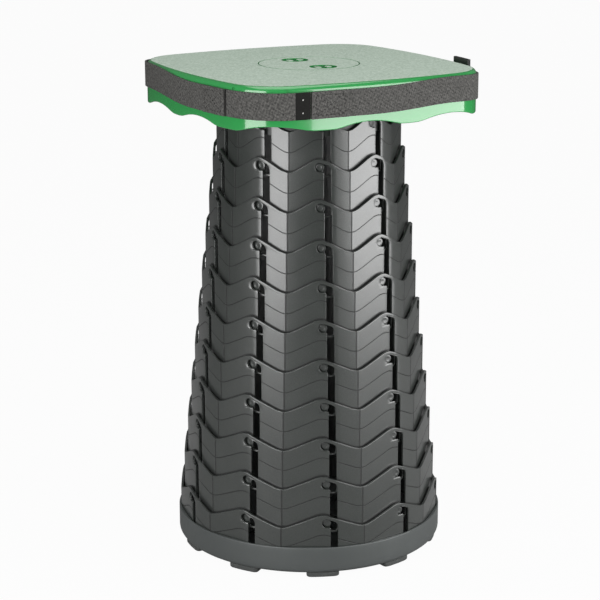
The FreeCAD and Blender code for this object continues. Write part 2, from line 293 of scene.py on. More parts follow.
def slot_sides(crest):
    """The slot's left side with its notch, and its right side with the hook, as (x, z) at
    the same number of rows, with the height of each row on the valley line.

    x is measured along the wall from the slot's fold. The notch is half a circle about the
    lug, and the hook a quarter of an ellipse.
    """
    lug = crest - LUG_DEPTH
    foot = lug - TRAVEL - NOTCH - FOOT_DROP
    low = foot + FOOT_STRIP
    valley = crest - WAVE
    turn = np.linspace(0, math.pi / 2, 4)
    left = [(0.0, z) for z in spaced(foot, low, 3, True, True)]
    right = list(left)
    valley_rows = [z for _, z in left]
    left += [(-SLOT_LEFT * math.sin(t), low + SLOT_BEND * (1 - math.cos(t))) for t in turn[1:]]
    right += [(SLOT_RIGHT * math.sin(t), low + SLOT_BEND * (1 - math.cos(t))) for t in turn[1:]]
    valley_rows += list(low + SLOT_BEND * np.array([1, 2, 3]) / 3)
    rows = np.linspace(0, 1, 12)[1:]
    ledge = lug - NOTCH
    start = low + SLOT_BEND
    left += [(-SLOT_LEFT, start + t * (ledge - 1.0 - start)) for t in rows]
    right += [(SLOT_RIGHT, start + t * (ledge - 1.0 - start)) for t in rows]
    valley_rows += [start + t * (valley - 9.0 - start) for t in rows]
    left += [(-SLOT_LEFT - 1 + math.cos(t), ledge - 1 + math.sin(t)) for t in turn[1:]]
    reach = np.linspace(SLOT_LEFT + 1, HOOK_REACH, 4)[1:]
    left += [(-x, ledge) for x in reach]
    hook = lug + NOTCH - HOOK_BEND
    right += [(SLOT_RIGHT, z) for z in np.linspace(ledge - 1, hook, 7)[1:]]
    valley_rows += list(np.linspace(valley - 9.0, valley - 6.6, 7)[1:])
    sweep = np.linspace(0, 1, 15)[1:]
    for t in sweep:
        angle = -math.pi / 2 - t * math.pi
        left.append((-HOOK_REACH + NOTCH * math.cos(angle), lug + NOTCH * math.sin(angle)))
        angle = t * math.pi / 2
        across = (SLOT_RIGHT + HOOK_REACH) * math.cos(angle) - HOOK_REACH
        right.append((across, hook + HOOK_BEND * math.sin(angle)))
    valley_rows += list(np.linspace(valley - 6.6, valley - 2.6, 15)[1:])
    return np.array(left), np.array(right), np.array(valley_rows)


def distance_to(points, line):
    """Least distance from each (x, z) point to an open chain of straight pieces."""
    start, run = line[:-1], np.diff(line, axis=0)
    gap = points[..., None, :] - start
    share = np.clip((gap * run).sum(-1) / np.maximum((run * run).sum(-1), 1e-9), 0, 1)
    return np.sqrt(((gap - share[..., None] * run) ** 2).sum(-1)).min(-1)


def between_sides(left, right, top, bottom, columns, weight):
    """A Coons patch: rows run straight from the left side to the right side, and bend
    towards the top and bottom lines by a weight that grows from row to row."""
    share = columns[None, :, None]
    flat = (1 - share) * left[:, None] + share * right[:, None]
    top_bend = top - ((1 - share[0]) * top[:1] + share[0] * top[-1:])
    bottom_bend = bottom - ((1 - share[0]) * bottom[:1] + share[0] * bottom[-1:])
    weight = weight[:, None, None]
    return flat + weight * top_bend[None] + (1 - weight) * bottom_bend[None]


def ring_panels(number):
    """The two sheets of one tenth of a ring as (x, z) grids, from slot to valley and from
    valley to slot, with the outline that their rounded edges follow."""
    fold, crest = fold_radius(number), crest_height(number)
    left_side, right_side, valley_rows = slot_sides(crest)
    valley_right = fold * 2 * NARROW_HALF
    valley_left = -fold * 2 * WIDE_HALF
    tip = left_side[-1]
    drop_tip = float(wave_drop(fold, np.array([tip[0] / fold]))[0])
    seam_rows = spaced(tip[1], crest - drop_tip, 3, True, True)[1:]
    seam = np.stack([np.full(len(seam_rows), tip[0]), seam_rows], -1)
    edge = np.linspace(0, 1, len(seam_rows) + 1)[1:]
    valley_top = crest - WAVE
    tail = valley_rows[-1] + (valley_top - EDGE - valley_rows[-1]) * np.linspace(0, 1, 5)[1:]
    last_rows = valley_top - EDGE * np.array([0.5, 0.17, 0.0])
    top_rows = np.concatenate([tail, last_rows])
    top_rows = np.interp(edge, np.linspace(0, 1, len(top_rows) + 1)[1:], top_rows)
    top_rows[-3:] = last_rows
    valley_z = np.concatenate([valley_rows, top_rows])
    left_side = np.concatenate([left_side, seam])
    right_side = np.concatenate([right_side, seam])
    weight = ((valley_z - valley_z[0]) / (valley_z[-1] - valley_z[0])) ** 3
    panels = []
    for side, valley in ((right_side, valley_right), (left_side, valley_left)):
        width = abs(valley) - (SLOT_RIGHT if valley > 0 else SLOT_LEFT)
        columns = spaced(0, width, max(4, int(width / 4)), True, False)
        columns = np.concatenate([columns[:-1], [width - 0.8, width - 0.3, width]]) / width
        line = np.stack([np.full(len(valley_z), valley), valley_z], -1)
        x_top = (1 - columns) * side[-1, 0] + columns * valley
        top = np.stack([x_top, crest - wave_drop(fold, x_top / fold)], -1)
        x_bottom = (1 - columns) * side[0, 0] + columns * valley
        bottom = np.stack([x_bottom, np.full(len(columns), valley_z[0])], -1)
        grid = between_sides(side, line, top, bottom, columns, weight)
        panels.append(grid if valley > 0 else grid[:, ::-1])
    rows = len(left_side) - len(seam)
    angles = np.linspace(-2 * WIDE_HALF - 0.05, 2 * NARROW_HALF + 0.05, 90)
    folded = np.where(angles > 2 * NARROW_HALF, angles - 2 * HALF_PITCH, angles)
    folded = np.where(angles < -2 * WIDE_HALF, angles + 2 * HALF_PITCH, folded)
    wave = np.stack([angles * fold, crest - wave_drop(fold, folded)], -1)
    outline = [wave, left_side[6:rows], right_side[6:rows]]
    return panels, outline, rows


def on_wall(fold, points, depth):
    """Bends (x, z) on the flat wall round the axis, at a depth behind its outer face."""
    angle = points[..., 0] / fold
    radius = wall_radius(fold, angle) - depth
    return np.stack([radius * np.cos(angle), radius * np.sin(angle), points[..., 1]], -1)


def around(grid, count):
    """Copies of a grid, turned evenly about the axis."""
    turn = np.arange(count) * 2 * math.pi / count
    shape = (count,) + (1,) * (grid.ndim - 1)
    cos, sin = np.cos(turn).reshape(shape), np.sin(turn).reshape(shape)
    x, y, z = grid[None, ..., 0], grid[None, ..., 1], grid[None, ..., 2] + 0 * cos
    return np.stack([x * cos - y * sin, x * sin + y * cos, z], -1)


def weld(name, grids, material, body, uvs=None, replaced=(), sharp_deg=40, layer="wall"):
    """One mesh from grids of points in millimetres, (..., rows, columns, 3), whose meeting
    edges are welded, with a UV of the same layout; it rides on a body of the stool."""
    points, faces, coordinates, total = [], [], [], 0
    for index, grid in enumerate(grids):
        rows, columns = grid.shape[-3:-1]
        flat = grid.reshape(-1, rows, columns, 3)
        numbers = total + np.arange(flat.shape[0] * rows * columns).reshape(-1, rows, columns)
        quads = [numbers[:, :-1, :-1], numbers[:, :-1, 1:], numbers[:, 1:, 1:], numbers[:, 1:, :-1]]
        faces.append(np.stack(quads, -1).reshape(-1, 4))
        points.append(flat.reshape(-1, 3))
        if uvs is not None:
            spread = np.broadcast_to(uvs[index], grid.shape[:-1] + (2,))
            coordinates.append(spread.reshape(-1, 2))
        total += numbers.size
    points, faces = np.concatenate(points) * MM, np.concatenate(faces)
    mesh = bpy.data.meshes.new(name)
    mesh.from_pydata(points, [], faces.tolist())
    if uvs is not None:
        per_corner = np.concatenate(coordinates)[faces.ravel()]
        mesh.uv_layers.new(name=layer).data.foreach_set("uv", per_corner.astype(np.float32).ravel())
    shape = bmesh.new()
    shape.from_mesh(mesh)
    bmesh.ops.remove_doubles(shape, verts=shape.verts, dist=0.00002)
    bmesh.ops.recalc_face_normals(shape, faces=shape.faces)
    shape.to_mesh(mesh)
    shape.free()
    mesh.polygons.foreach_set("use_smooth", np.ones(len(mesh.polygons), dtype=bool))
    mesh.set_sharp_from_angle(angle=math.radians(sharp_deg))
    mesh.materials.append(material)
    piece = bpy.data.objects.new(name, mesh)
    bpy.context.collection.objects.link(piece)
    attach(piece, body)
    if replaced:
        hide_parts(*replaced)


def lug_grids(host, height):
    """A ring's ten lugs, which rest low in the notches of the ring round it: a round stud
    with a soft rim and a slightly dished face, turned about its own axis, on a flat rib to
    the foot. Each ends a little behind the wall round it, so that it can slide past."""
    fold = fold_radius(host)
    flat = fold * math.cos(WIDE_HALF)
    across = flat * math.tan(WIDE_HALF) - HOOK_REACH
    tip = flat - RING_WALL - LUG_GAP
    root = flat - RING_STEP - 1.0
    profile = np.array([
        (LUG_RADIUS, root), (LUG_RADIUS, tip - 0.5), (LUG_RADIUS - 0.15, tip - 0.15),
        (LUG_RADIUS - 0.5, tip), (1.6, tip), (1.3, tip - 0.1), (0.0, tip - 0.15),
    ])
    turn = np.linspace(0, 2 * math.pi, 33)
    out = profile[:, None, 1] + 0 * turn
    side = across + profile[:, None, 0] * np.cos(turn)
    up = height - LUG_REST + profile[:, None, 0] * np.sin(turn)
    stud = np.stack([out, side, up], -1)
    foot = height - NOTCH - FOOT_DROP
    box_side = np.array([-0.5, -0.5, 0.5, 0.5]) * LUG_RIB + across
    box_out = np.array([root, tip - 0.1, tip - 0.1, root])
    rib = np.stack([
        np.stack([box_out, box_side, np.full(4, z)], -1) for z in (foot, height)
    ])
    face = np.array([[rib[0, 0], rib[0, 3]], [rib[0, 1], rib[0, 2]]])
    grids = []
    for grid in (stud, rib, face):
        cos, sin = math.cos(-WIDE_HALF), math.sin(-WIDE_HALF)
        x, y = grid[..., 0], grid[..., 1]
        grids.append(around(np.stack([x * cos - y * sin, x * sin + y * cos, grid[..., 2]], -1), SLOTS))
    return grids


def groove_offset(fold, crest, points):
    """Height of a point above the engraved line, which follows the wave."""
    drop = wave_drop(fold, points[..., 0] / fold)
    return points[..., 1] - (crest - drop - GROOVE_DROP)


def ring_grids(number):
    """Outer face, inner face and the edges between them, ten times round."""
    fold, crest = fold_radius(number), crest_height(number)
    panels, outline, rows = ring_panels(number)
    grids, uvs = [], []
    for points, on_right in zip(panels, (False, True)):
        far = np.min([distance_to(points, line) for line in outline], axis=0)
        inset = EDGE - np.sqrt(EDGE**2 - (EDGE - np.minimum(far, EDGE)) ** 2)
        face = on_wall(fold, points, inset)
        back = on_wall(fold, points, RING_WALL)
        valley = np.where(points[..., 0] < 0, 2 * WIDE_HALF, 2 * NARROW_HALF) * fold
        valley = np.abs(valley - np.abs(points[..., 0]))
        uv = np.stack([valley, groove_offset(fold, crest, points)], -1) * MM
        grids += [around(face, SLOTS), around(back[:, ::-1], SLOTS)]
        uvs += [uv, uv[:, ::-1] * 0 + 0.5]
        column = -1 if on_right else 0
        slot = slice(6, rows)
        rims = [
            (face[slot, column], back[slot, column]),
            (face[-1], back[-1]),
            (face[0], back[0]),
        ]
        for outer, inner in rims:
            rim = np.stack([outer, inner])
            grids.append(around(rim, SLOTS))
            uvs.append(np.full(rim.shape[:-1] + (2,), 0.5))
    return grids, uvs


def satin_plastic(name, dark, light, roughness):
    """Moulded charcoal plastic with a fine spark-eroded grain: faint flow marks in the colour,
    handling sheen in the roughness, both engraved lines cut into the face and darkened with
    painted shade, and a dark band of painted shade where the edge of the ring round it stands."""
    paint = Finish(name, Coat_Roughness=0.27, IOR=1.5)
    valley, groove = paint.across("wall")
    cloudy = paint.noise(14, 3.0, 0.55)
    grain = paint.noise(1300, 2.0, 0.6)
    lines = groove.near(0.0, 0.0005, 0.0003)
    folds = 1 - valley.between(0.0004, 0.0008)
    cut = 1 - (1 - lines) * (1 - folds)
    # Painted shade: a dark band just above the edge of the ring round this one, where the gap between the
    # rings falls in shade.
    dust_and_gap_shade = groove.near((GROOVE_DROP - TRAVEL + 0.2) * MM, 0.0016, 0.0007)
    dim = 1 - (1 - cut) * (1 - dust_and_gap_shade * 0.9)
    colour = paint.mix(cloudy.between(0.3, 0.7), dark, light)
    colour = paint.mix(grain.between(0.35, 0.7) * 0.3, colour, (0.045, 0.049, 0.046, 1))
    # Painted shade: the engraved lines and the gap band are darkened nearly to black in the colour.
    colour = paint.mix(dim * 0.85, colour, (0.003, 0.003, 0.003, 1))
    smear = paint.noise(42, 5.0, 0.7).between(0.35, 0.75)
    paint.set(Base_Color=colour, Roughness=roughness + smear * 0.07 + dim * 0.3)
    paint.set(Normal=paint.relief(grain * 0.00003 - cut * 0.0004), Coat_Weight=1 - dim * 0.95)
    return paint.material


RING_DARK = (0.013, 0.016, 0.014, 1)
RING_LIGHT = (0.019, 0.022, 0.020, 1)
ring_plastic = satin_plastic("ring_plastic", RING_DARK, RING_LIGHT, 0.28)

ring_bodies = {number: "ring_%02d" % number for number in range(2, RINGS + 1)}
ring_bodies[1] = "base"
for number in range(1, RINGS + 1):
    grids, uvs = ring_grids(number)
    if number > 1:
        lugs = lug_grids(number - 1, crest_height(number - 1) - LUG_DEPTH)
        grids += lugs
        uvs += [np.full(grid.shape[:-1] + (2,), 0.5) for grid in lugs]
    node = "ring_%02d" % number
    weld(node + "_moulding", grids, ring_plastic, ring_bodies[number], uvs, [node])

# Innermost ring. A plain wall of the same plastic that closes the column, with a flange
# inside its top that the seat's four screws pull up against. Its lugs show in the notches of
# the ring round it.
EDGE_BREAK = 0.0003


def broken_edges(node, name, material, body, width):
    """A welded copy of a CAD node whose hard edges are broken by a small round."""
    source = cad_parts[node]
    mesh = source.data.copy()
    mesh.name = name
    shape = bmesh.new()
    shape.from_mesh(mesh)
    bmesh.ops.remove_doubles(shape, verts=shape.verts, dist=0.00002)
    bmesh.ops.dissolve_limit(
        shape, angle_limit=math.radians(2), verts=shape.verts, edges=shape.edges, delimit={"NORMAL"}
    )
    shape.to_mesh(mesh)
    shape.free()
    mesh.materials.clear()
    mesh.materials.append(material)
    mesh.polygons.foreach_set("use_smooth", np.ones(len(mesh.polygons), dtype=bool))
    mesh.set_sharp_from_angle(angle=math.radians(35))
    piece = bpy.data.objects.new(name, mesh)
    bpy.context.collection.objects.link(piece)
    bevel = piece.modifiers.new("broken_edges", "BEVEL")
    bevel.width = width
    bevel.segments = 2
    bevel.limit_method = "ANGLE"
    bevel.angle_limit = math.radians(35)
    bevel.harden_normals = True
    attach(piece, body)
    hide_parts(node)


inner_plastic = Finish("inner_plastic", Roughness=0.42)
inner_cloud = inner_plastic.noise(14, 3.0, 0.55).between(0.3, 0.7)
inner_plastic.set(
    Base_Color=inner_plastic.mix(inner_cloud, RING_DARK, RING_LIGHT),
    Normal=inner_plastic.relief(inner_plastic.noise(2600, 2.0, 0.6) * 0.00002),
)
broken_edges("ring_12", "ring_12_moulding", inner_plastic.material, "seat", EDGE_BREAK)
stud_height = crest_height(RINGS) - LUG_DEPTH
studs = lug_grids(RINGS, stud_height)[:1]
weld("ring_12_studs", studs, inner_plastic.material, "seat")

# Base. A round tray of the same plastic, a shade lighter, whose rim holds the foot of the
# outermost ring. Its bottom edge turns in, and ribs stiffen the floor inside.
BASE_RADIUS = 125.0
BASE_LOW = 4.8
RIM_TOP = 29.3
TRAY_FLOOR = 6.7
BASE_FIT = 0.2
RIB_HEIGHT = 6.0
RIB_HALF = 0.9
RIB_REACH = 70.0


def base_grids():
    """The tray's section carried round the axis. The rim's inner face follows the ring's
    twenty flats, and its outer face is a circle with a round foot and a broken top edge."""
    angle = np.linspace(0, 2 * HALF_PITCH, 37)
    folded = np.where(angle > 2 * NARROW_HALF, angle - 2 * HALF_PITCH, angle)
    inner = wall_radius(FIRST_FOLD, folded) + BASE_FIT
    turn = np.linspace(0, math.pi / 2, 7)
    foot = 4.0
    outer = [(30.0, BASE_LOW), (BASE_RADIUS - foot - 12, BASE_LOW)]
    outer += [(BASE_RADIUS - foot + foot * math.sin(t), BASE_LOW + foot * (1 - math.cos(t))) for t in turn]
    outer += [(BASE_RADIUS, BASE_LOW + foot + 6), (BASE_RADIUS, RIM_TOP - 6)]
    top = 0.8
    outer += [(BASE_RADIUS - top * (1 - math.cos(t)), RIM_TOP - top + top * math.sin(t)) for t in turn]
    radius = np.array([r for r, _ in outer])[:, None] + 0 * angle
    height = np.array([z for _, z in outer])[:, None] + 0 * angle
    inside = [(inner + 0.3, RIM_TOP), (inner, RIM_TOP - 0.3), (inner, RIM_TOP - 3)]
    inside += [(inner, TRAY_FLOOR + 1), (inner, TRAY_FLOOR)]
    inside += [(0 * angle + reach, TRAY_FLOOR) for reach in (RIB_REACH, 24)]
    radius = np.concatenate([[[0] * len(angle)], radius, [r for r, _ in inside], [[0] * len(angle)]])
    heights = [[BASE_LOW] * len(angle)], height, [[z] * len(angle) for _, z in inside]
    height = np.concatenate(list(heights) + [[[TRAY_FLOOR] * len(angle)]])
    return around(np.stack([radius * np.cos(angle), radius * np.sin(angle), height], -1), SLOTS)


def rib_grids():
    """Ten ribs from the middle of the tray's floor, each a thin wall with a drawn-in top."""
    side = np.array([-RIB_HALF - 0.1, -RIB_HALF + 0.1, RIB_HALF - 0.1, RIB_HALF + 0.1])
    up = np.array([TRAY_FLOOR - 0.2, TRAY_FLOOR + RIB_HEIGHT, TRAY_FLOOR + RIB_HEIGHT, TRAY_FLOOR - 0.2])
    reach = np.array([20.0, RIB_REACH - 1.0, RIB_REACH])
    lower = np.array([0.0, 0.0, 1.0])
    grid = np.stack([
        reach[:, None] + 0 * side,
        side + 0 * reach[:, None],
        up - lower[:, None] * (up - TRAY_FLOOR).clip(0, 1),
    ], -1)
    return around(grid, SLOTS)


base_plastic = Finish("base_plastic", IOR=1.5)
base_cloud = base_plastic.noise(11, 3.0, 0.55).between(0.3, 0.7)
base_wear = base_plastic.noise(55, 4.0, 0.65).between(0.45, 0.8)
base_plastic.set(
    Base_Color=base_plastic.mix(base_cloud, (0.050, 0.055, 0.054, 1), (0.060, 0.066, 0.065, 1)),
    Roughness=base_wear * 0.1 + 0.42,
    Normal=base_plastic.relief(base_plastic.noise(2200, 2.0, 0.6) * 0.00003),
)
weld("base_moulding", [base_grids(), rib_grids()], base_plastic.material, "base", None,
     ["base_tray"])

# Feet. Ten rubber pads under the rim, one below each crest of the waves, so that the stool
# stands firmly and doesn't mark a floor. Each is moulded with soft edges.
FOOT_WIDTH = 31.0
FOOT_OUTER = 122.5
FOOT_RADIAL = 18.0


def foot_grid():
    """A pad as a superellipse of high power in plan, whose edge rounds in towards the floor;
    the rows run from the middle of its underside to the middle of its top."""
    turn = np.linspace(0, 2 * math.pi, 41)
    power = 2 / 7
    across = np.sign(np.cos(turn)) * np.abs(np.cos(turn)) ** power * FOOT_WIDTH / 2
    out = np.sign(np.sin(turn)) * np.abs(np.sin(turn)) ** power * FOOT_RADIAL / 2
    rows = [(0.0, 0.0), (0.86, 0.0), (0.95, 0.25), (0.99, 0.9), (1.0, 1.8)]
    rows += [(1.0, BASE_LOW), (0.0, BASE_LOW)]
    scale = np.array([s for s, _ in rows])[:, None]
    height = np.array([z for _, z in rows])[:, None] + 0 * turn
    angle = scale * across / FOOT_OUTER - LEAD
    reach = FOOT_OUTER - FOOT_RADIAL / 2 + scale * out
    return around(np.stack([reach * np.cos(angle), reach * np.sin(angle), height], -1), SLOTS)


rubber = Finish("foot_rubber", Roughness=0.7)
dust_and_gap_shade = rubber.noise(120, 4.0, 0.7).between(0.45, 0.8)
rubber.set(
    Base_Color=rubber.mix(dust_and_gap_shade, (0.040, 0.043, 0.042, 1), (0.075, 0.078, 0.075, 1)),
    Normal=rubber.relief(rubber.noise(900, 3.0, 0.6) * 0.00006),
)
weld("foot_pads", [foot_grid()], rubber.material, "base", None, ["base_feet"])

# Seat. One green moulding: a flat top with a fine matt grain, painted pale as a sheen of
# light across it, a polished rounded rim, and a skirt whose foot waves in ten lobes like the
# rings. Gussets stiffen the corners inside, and a socket takes the cap.
SEAT_TOP = 451.1
SEAT_HALF = 128.0
SIDE_RADIUS = 560.0
CORNER_RADIUS = 46.0
PLATE = 3.0
SKIRT = 39.0
SKIRT_EDGE = 0.8
SEAT_WALL = 2.4
RIM_ROUND = 5.0
LOBE = 5.0
LOBE_HALF = 30.0
LOBE_SOFT = 1.6
CAP_SEAT = 2.2
SOCKET_WALL = 8.0
SOCKET_DEPTH = 4.0
GUSSET_DEPTH = 14.0
GUSSET_START = 127.6
FAN = 2.6
CAP_RADIUS = 45.9
CAP_FIT = 0.35
CORE_RADIUS = 39.6


def seat_arcs():
    """Where the centres of a side's arc and of a corner's arc lie, and the direction in which
    the edge faces where the two arcs meet."""
    side_centre = SEAT_HALF - SIDE_RADIUS
    reach = SIDE_RADIUS - CORNER_RADIUS
    corner = (side_centre + math.sqrt(2 * reach**2 - side_centre**2)) / 2
    return side_centre, corner, math.atan2(corner, corner - side_centre)


def seat_line(normal, grow):
    """A point of the seat's outline for each direction its edge faces: four shallow arcs and
    four tight ones, all tangent, pushed outwards by an amount."""
    side_centre, corner, bend = seat_arcs()
    quarter = np.round(normal / (math.pi / 2)) * (math.pi / 2)
    on_side = np.abs(normal - quarter) <= bend
    diagonal = (np.floor(normal / (math.pi / 2)) + 0.5) * (math.pi / 2)
    centre_angle = np.where(on_side, quarter, diagonal)
    centre = np.where(on_side, side_centre, corner * math.sqrt(2))
    radius = np.where(on_side, SIDE_RADIUS, CORNER_RADIUS) + grow
    x = centre * np.cos(centre_angle) + radius * np.cos(normal)
    y = centre * np.sin(centre_angle) + radius * np.sin(normal)
    return x, y


def seat_normals(per_side, per_corner):
    """Directions round the seat's edge, close together where it turns in the corners."""
    bend = seat_arcs()[2]
    side = np.linspace(-bend, bend, per_side + 1)[:-1]
    turn = np.linspace(bend, math.pi / 2 - bend, per_corner + 1)[:-1]
    one = np.concatenate([side, turn])
    steps = np.arange(4)[:, None] * math.pi / 2
    return np.append((one + steps).ravel(), -bend + 2 * math.pi)


def skirt_foot(x, y):
    """Height of the skirt's foot: arches bow up by a lobe's depth at the rings' valleys and
    meet in soft points below the crests."""
    angle = np.arctan2(y, x)
    valley = HALF_PITCH - LEAD
    off = (angle - valley + HALF_PITCH) % (2 * HALF_PITCH) - HALF_PITCH
    reach = np.hypot(x, y) * np.sin(np.abs(off))
    bow = (LOBE_HALF**2 + LOBE**2) / (2 * LOBE)
    arch = LOBE - bow + np.sqrt(np.maximum(bow**2 - reach**2, 0))
    rise = np.log1p(np.exp(np.clip(arch, -30, 30) * LOBE_SOFT)) / LOBE_SOFT
    return SEAT_TOP - SKIRT + rise


def seat_grids():
    """Top, rim, skirt and inside in rows from the cap's seat outwards and down, then back
    up to the plate's underside and in to the socket."""
    normal = seat_normals(26, 30)
    edge = [seat_line(normal, 0.0)]
    ring = np.arctan2(edge[0][1], edge[0][0])
    rows = []

    def add(radius_share, grow, height, groove=CAP_RADIUS + CAP_FIT):
        x, y = seat_line(normal, grow)
        rows.append([
            groove * np.cos(ring) * (1 - radius_share) + x * radius_share,
            groove * np.sin(ring) * (1 - radius_share) + y * radius_share,
            height + 0 * x,
        ])

    add(0.0, 0.0, SEAT_TOP - CAP_SEAT)
    add(0.0, 0.0, SEAT_TOP - 0.35)
    add(0.0, 0.0, SEAT_TOP - 0.1, CAP_RADIUS + CAP_FIT + 0.1)
    add(0.0, 0.0, SEAT_TOP, CAP_RADIUS + CAP_FIT + 0.35)
    for share in (0.01, 0.25, 0.5, 0.75, 0.985):
        add(share, -RIM_ROUND, SEAT_TOP, CAP_RADIUS + CAP_FIT + 0.35)
    add(1.0, -RIM_ROUND - 0.4, SEAT_TOP)
    for t in np.linspace(0, math.pi / 2, 9):
        add(1.0, -RIM_ROUND * (1 - math.sin(t)), SEAT_TOP - RIM_ROUND * (1 - math.cos(t)))
    foot = skirt_foot(*edge[0])
    for share in (0.3, 0.6, 0.85):
        add(1.0, 0.0, SEAT_TOP - RIM_ROUND - share * (SEAT_TOP - RIM_ROUND - foot - SKIRT_EDGE))
    for t in np.linspace(0, math.pi / 2, 5):
        add(1.0, -SKIRT_EDGE * (1 - math.cos(t)), foot + SKIRT_EDGE * (1 - math.sin(t)))
    for t in np.linspace(0, math.pi / 2, 5)[1:]:
        add(1.0, -SEAT_WALL + SKIRT_EDGE * math.cos(t), foot + SKIRT_EDGE / 2 * math.sin(t))
    under = SEAT_TOP - PLATE
    add(1.0, -SEAT_WALL, foot * 0.5 + under * 0.5)
    add(1.0, -SEAT_WALL, under - 1.2)
    add(1.0, -SEAT_WALL - 1.2, under)
    socket = CORE_RADIUS + SOCKET_WALL
    add(0.5, -SEAT_WALL, under, socket)
    add(0.0, 0.0, under, socket)
    add(0.0, 0.0, under - SOCKET_DEPTH, socket)
    add(0.0, 0.0, under - SOCKET_DEPTH, CORE_RADIUS + CAP_FIT)
    add(0.0, 0.0, SEAT_TOP - CAP_SEAT, CORE_RADIUS + CAP_FIT)
    add(0.0, 0.0, SEAT_TOP - CAP_SEAT)
    return np.moveaxis(np.array(rows), 1, -1)


def gusset_grids():
    """Three thin webs in each corner, from the plate down, between the rings and the skirt."""
    grids = []
    for turn in (-9, 0, 9):
        angle = math.radians(45 + turn)
        normal = np.array([math.radians(45) + math.radians(turn) * FAN])
        x, y = seat_line(normal, -SEAT_WALL / 2)
        reach = float(np.hypot(x, y)[0])
        side = np.array([-0.9, -0.8, 0.8, 0.9])
        up = np.array([0.5, -GUSSET_DEPTH, -GUSSET_DEPTH, 0.5])
        out = np.array([GUSSET_START, GUSSET_START + 1.4, reach - 0.5])
        drop = np.array([0.0, 1.0, 1.0])[:, None]
        z = SEAT_TOP - PLATE + np.where(up > 0, up, up * drop)
        x = out[:, None] * math.cos(angle) - side * math.sin(angle)
        y = out[:, None] * math.sin(angle) + side * math.cos(angle)
        grids.append(around(np.stack([x, y, z], -1), 4))
    return grids


# The pale grey-green is painted sheen: light glancing off the seat's matt top.
PAINTED_SHEEN = (0.42, 0.52, 0.43, 1)
GREEN = (0.022, 0.215, 0.052, 1)
green = Finish("seat_plastic", Coat_Roughness=0.04, IOR=1.5)
height = green.node("ShaderNodeSeparateXYZ", {}, {0: green.place()}, out="Z")
normal = green.node("ShaderNodeNewGeometry", {}, {}, out="Normal")
upward = green.node("ShaderNodeSeparateXYZ", {}, {0: normal}, out="Z")
# The top face, found by its height and upward normal: a real matt grain and roughness, and painted sheen
# in its colour.
matt_top_and_painted_sheen = upward.between(0.93, 0.995) * height.between((SEAT_TOP - 2.5) * MM, (SEAT_TOP - 0.3) * MM)
speckle = green.noise(480, 4.0, 0.8)
cloud = green.noise(9, 3.0, 0.6)
grainy_painted_sheen = green.mix(speckle.between(0.35, 0.65), (0.29, 0.38, 0.30, 1), (0.53, 0.62, 0.54, 1))
grainy_painted_sheen = green.mix(cloud.between(0.3, 0.7) * 0.25, grainy_painted_sheen, PAINTED_SHEEN)
green.set(
    Base_Color=green.mix(matt_top_and_painted_sheen, GREEN, grainy_painted_sheen),
    Roughness=0.16 + matt_top_and_painted_sheen * 0.42,
    Coat_Weight=0.6 - matt_top_and_painted_sheen * 0.6,
    Normal=green.relief(speckle * matt_top_and_painted_sheen * 0.00006),
)
weld("seat_moulding", [seat_grids()] + gusset_grids(), green.material, "seat", None,
     ["seat_shell"], sharp_deg=50)

# Cap. A flat disc of the seat's plastic with the same matt grain and painted sheen, let in
# flush with a fine dark joint round it. Two round plugs sit in it, a little below its face.
PLUG_Y = 26.5
PLUG_RADIUS = 12.0
PLUG_SINK = 1.0
PLUG_THICK = 2.0
CAP_RIM = 2.0
CAP_CORE = 4.5
OVAL_APART = 10.4
OVAL_ACROSS = 3.6
OVAL_ALONG = 4.6


def turned(rows, x, y, turn, wide=1.0, long=1.0):
    """A turned surface about an upright line at x, y from (radius, height) rows, drawn out
    into an oval by a factor each way."""
    return np.stack([
        np.stack([x + wide * r * np.cos(turn), y + long * r * np.sin(turn), z + 0 * turn], -1)
        for r, z in rows
    ])


def cap_grids():
    """The disc's face in two halves, each spread between a plug's hole and the half disc's
    outline along rays from the hole's middle; then the disc's edge and its underside."""
    grids = []
    lip = CAP_RADIUS - 0.4
    corner = math.atan2(-PLUG_Y, lip)
    outer_turn = np.linspace(corner, math.pi - corner, 41)
    inner_turn = np.linspace(math.pi - corner, 2 * math.pi + corner, 25)[1:]
    turn = np.concatenate([outer_turn, inner_turn])
    ray_x, ray_y = np.cos(turn), np.sin(turn)
    to_circle = -PLUG_Y * ray_y + np.sqrt(lip**2 - (PLUG_Y * ray_x) ** 2)
    to_line = np.where(ray_y < 0, -PLUG_Y / np.minimum(ray_y, -1e-6), 1e9)
    far = np.minimum(to_circle, to_line)
    hole = PLUG_RADIUS + 0.3
    steps = [(hole, SEAT_TOP - 3.0), (hole, SEAT_TOP - 0.25), (hole + 0.25, SEAT_TOP)]
    for sign in (1, -1):
        rows = [[r * ray_x, sign * (PLUG_Y + r * ray_y), z + 0 * turn] for r, z in steps]
        for share in (0.02, 0.33, 0.66, 0.98, 1.0):
            r = hole + 0.25 + (far - hole - 0.25) * share
            rows.append([r * ray_x, sign * (PLUG_Y + r * ray_y), SEAT_TOP + 0 * turn])
        grids.append(np.moveaxis(np.array(rows), 1, -1))
    turn = np.linspace(0, 2 * math.pi, 97)
    rows = [(lip, SEAT_TOP), (lip + 0.28, SEAT_TOP - 0.1), (CAP_RADIUS, SEAT_TOP - 0.4)]
    rows += [(CAP_RADIUS, SEAT_TOP - CAP_RIM), (CORE_RADIUS, SEAT_TOP - CAP_RIM)]
    rows += [(CORE_RADIUS, SEAT_TOP - CAP_CORE), (0.0, SEAT_TOP - CAP_CORE)]
    grids.append(turned(rows, 0.0, 0.0, turn))
    return grids


weld("cap_moulding", cap_grids(), green.material, "seat", None, ["seat_cap"])


